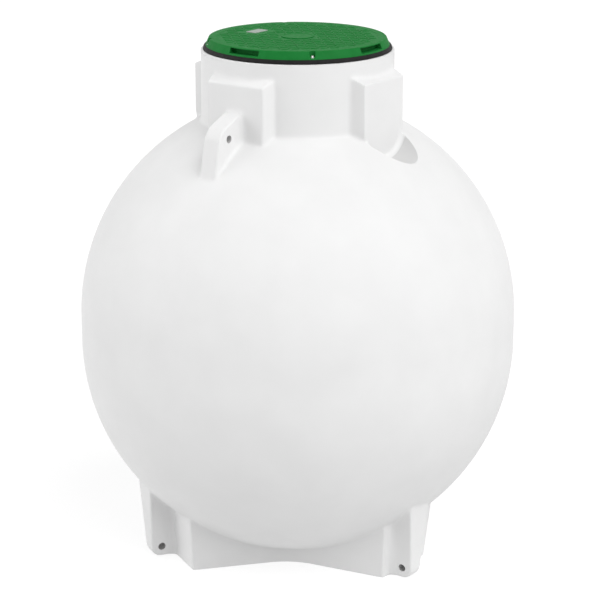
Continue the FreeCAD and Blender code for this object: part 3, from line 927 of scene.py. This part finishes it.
def white_plastic():
    """Moulded polyethylene: soft sheen, faint clouds, fine orange peel, painted shade in holes and
    recesses.
    """
    material, tree, shader = new_material("white_moulded_plastic", roughness=0.45, specular=0.15)
    two_tone(tree, shader, grain(tree, scale=7), (0.725, 0.725, 0.725), (0.75, 0.75, 0.75))
    # Painted shade: a dark grey laid into the base colour in the holes and pipe recesses
    with_painted_shade(tree, shader, (0.36, 0.355, 0.35))
    tree.links.new(spread(tree, grain(tree, scale=45), low=0.42, high=0.52), shader.inputs["Roughness"])
    relief(tree, shader, grain(tree, scale=160), height=0.15 * MM, strength=0.25)
    return material


def green_plastic():
    """Green moulded plastic with a grained, slightly dull surface."""
    material, tree, shader = new_material("green_moulded_plastic", roughness=0.6, specular=0.08)
    two_tone(tree, shader, grain(tree, scale=30), (0.007, 0.148, 0.025), (0.010, 0.166, 0.031))
    tree.links.new(spread(tree, grain(tree, scale=90), low=0.52, high=0.68), shader.inputs["Roughness"])
    relief(tree, shader, grain(tree, scale=700), height=0.1 * MM, strength=0.35)
    return material


def seal_rubber():
    """Dull black rubber with a fine dusty grain."""
    material, tree, shader = new_material("black_seal_rubber", roughness=0.6, specular=0.12)
    two_tone(tree, shader, grain(tree, scale=60), (0.008, 0.008, 0.008), (0.014, 0.013, 0.013))
    tree.links.new(spread(tree, grain(tree, scale=150), low=0.5, high=0.7), shader.inputs["Roughness"])
    relief(tree, shader, grain(tree, scale=500), height=0.1 * MM, strength=0.3)
    return material


def screw_steel():
    """Galvanised steel with a fine spangle."""
    material, tree, shader = new_material("galvanised_screw_steel", roughness=0.35)
    shader.inputs["Metallic"].default_value = 1
    two_tone(tree, shader, grain(tree, scale=400), (0.62, 0.63, 0.62), (0.78, 0.78, 0.76))
    tree.links.new(spread(tree, grain(tree, scale=300), low=0.25, high=0.42), shader.inputs["Roughness"])
    relief(tree, shader, grain(tree, scale=900), height=0.05 * MM, strength=0.3)
    return material


def plate_grey():
    """Plain grey plate with a green cast and a fine brushed grain along its length."""
    material, tree, shader = new_material("plain_grey_plate", roughness=0.5, specular=0.3)
    brushed = grain(tree, scale=900, detail=2, stretch=(1, 0.04, 1))
    two_tone(tree, shader, brushed, (0.26, 0.31, 0.27), (0.33, 0.38, 0.34))
    tree.links.new(spread(tree, brushed, low=0.45, high=0.6), shader.inputs["Roughness"])
    relief(tree, shader, brushed, height=0.05 * MM, strength=0.3)
    return material


# Floor, light and camera

FLOOR_SHADE = 0.40
FLOOR_BOUNCE = 0.41
FLOOR_TINT = 0.28
FLOOR_GLOW = 0.78
SKY_STRENGTH = 0.53
LAMP_SPREAD = math.radians(60)
LAMP_STAND = 6
FLOOR_SIZE = 120
CAMERA_PLACE = (4.349, -6.017, 3.009)
CAMERA_TILT = 73.82
CAMERA_TURN = 35.8
CAMERA_SIDE = CAMERA_TURN - 90
CAMERA_LENS = 138
CAMERA_SENSOR = 36
CAMERA_RANGE = 200
# Turn of each lamp from the camera to the camera's right, its height above the floor, and its strength
LAMPS = {
    "right_lamp": (45, 45, 2.1),
    "left_lamp": (-90, 15, 1.4),
}


def seen_directly(tree):
    """One for rays from the camera, gloss or glass, and nothing for scattered light."""
    path = tree.nodes.new("ShaderNodeLightPath")
    total = path.outputs["Is Camera Ray"]
    for ray in ("Is Glossy Ray", "Is Transmission Ray"):
        higher = tree.nodes.new("ShaderNodeMath")
        higher.operation = "MAXIMUM"
        tree.links.new(total, higher.inputs[0])
        tree.links.new(path.outputs[ray], higher.inputs[1])
        total = higher.outputs["Value"]
    return total


def pale_coat(tree, shade, glow):
    """Dull grey that also glows a little, so that shadows on it stay pale."""
    dull = tree.nodes.new("ShaderNodeBsdfDiffuse")
    dull.inputs["Color"].default_value = (shade, shade, shade, 1)
    light = tree.nodes.new("ShaderNodeEmission")
    light.inputs["Strength"].default_value = glow
    coat = tree.nodes.new("ShaderNodeAddShader")
    tree.links.new(dull.outputs["BSDF"], coat.inputs[0])
    tree.links.new(light.outputs["Emission"], coat.inputs[1])
    return coat.outputs["Shader"]


def make_floor():
    """Pale floor that looks white, keeps the tank's shadow and throws a softer light back."""
    bpy.ops.object.select_all(action="DESELECT")
    bpy.ops.mesh.primitive_plane_add(size=FLOOR_SIZE)
    floor = named("floor")
    material = bpy.data.materials.new("pale_floor")
    material.use_nodes = True
    tree = material.node_tree
    tree.nodes.clear()
    either = tree.nodes.new("ShaderNodeMixShader")
    output = tree.nodes.new("ShaderNodeOutputMaterial")
    tree.links.new(seen_directly(tree), either.inputs["Fac"])
    tree.links.new(pale_coat(tree, FLOOR_SHADE, FLOOR_BOUNCE), either.inputs[1])
    tree.links.new(pale_coat(tree, FLOOR_TINT, FLOOR_GLOW), either.inputs[2])
    tree.links.new(either.outputs["Shader"], output.inputs["Surface"])
    floor.data.materials.append(material)


def make_world():
    """Soft sky that the camera and gloss see as white."""
    world = bpy.data.worlds.new("studio")
    world.use_nodes = True
    tree = world.node_tree
    sky = tree.nodes["Background"]
    sky.inputs["Color"].default_value = (1, 1, 1, 1)
    level = tree.nodes.new("ShaderNodeMath")
    level.operation = "MULTIPLY_ADD"
    level.inputs[1].default_value = 1 - SKY_STRENGTH
    level.inputs[2].default_value = SKY_STRENGTH
    tree.links.new(seen_directly(tree), level.inputs[0])
    tree.links.new(level.outputs["Value"], sky.inputs["Strength"])
    bpy.context.scene.world = world


def make_lamp(name, turn, height, strength):
    """Very wide soft lamp, set by its turn from the camera's side and its height."""
    across = math.radians(CAMERA_SIDE + turn)
    lift = math.radians(height)
    way = Vector((math.cos(across) * math.cos(lift), math.sin(across) * math.cos(lift), math.sin(lift)))
    bpy.ops.object.select_all(action="DESELECT")
    bpy.ops.object.light_add(type="SUN", location=way * LAMP_STAND)
    lamp = bpy.context.object
    lamp.name = name
    lamp.data.energy = strength
    lamp.data.angle = LAMP_SPREAD
    lamp.rotation_euler = way.to_track_quat("Z", "Y").to_euler()


def make_camera():
    bpy.ops.object.select_all(action="DESELECT")
    bpy.ops.object.camera_add(location=CAMERA_PLACE)
    camera = bpy.context.object
    camera.name = "photo_camera"
    camera.rotation_euler = (math.radians(CAMERA_TILT), 0, math.radians(CAMERA_TURN))
    camera.data.sensor_width = CAMERA_SENSOR
    camera.data.lens = CAMERA_LENS
    camera.data.clip_end = CAMERA_RANGE
    bpy.context.scene.camera = camera


bpy.context.scene.view_settings.view_transform = "Standard"
make_floor()
make_world()
for lamp_name, (lamp_turn, lamp_height, lamp_strength) in LAMPS.items():
    make_lamp(lamp_name, lamp_turn, lamp_height, lamp_strength)
make_camera()

take_finish(make_tank_body(), white_plastic(), WHITE_NODES)
take_finish(make_seal(), seal_rubber(), ["seal_ring"])
lid_green = green_plastic()
take_finish(make_lid(), lid_green, ["lid"])
take_finish(make_tread(), lid_green)
take_finish(make_screws(), screw_steel())
take_finish(make_plate(), plate_grey())
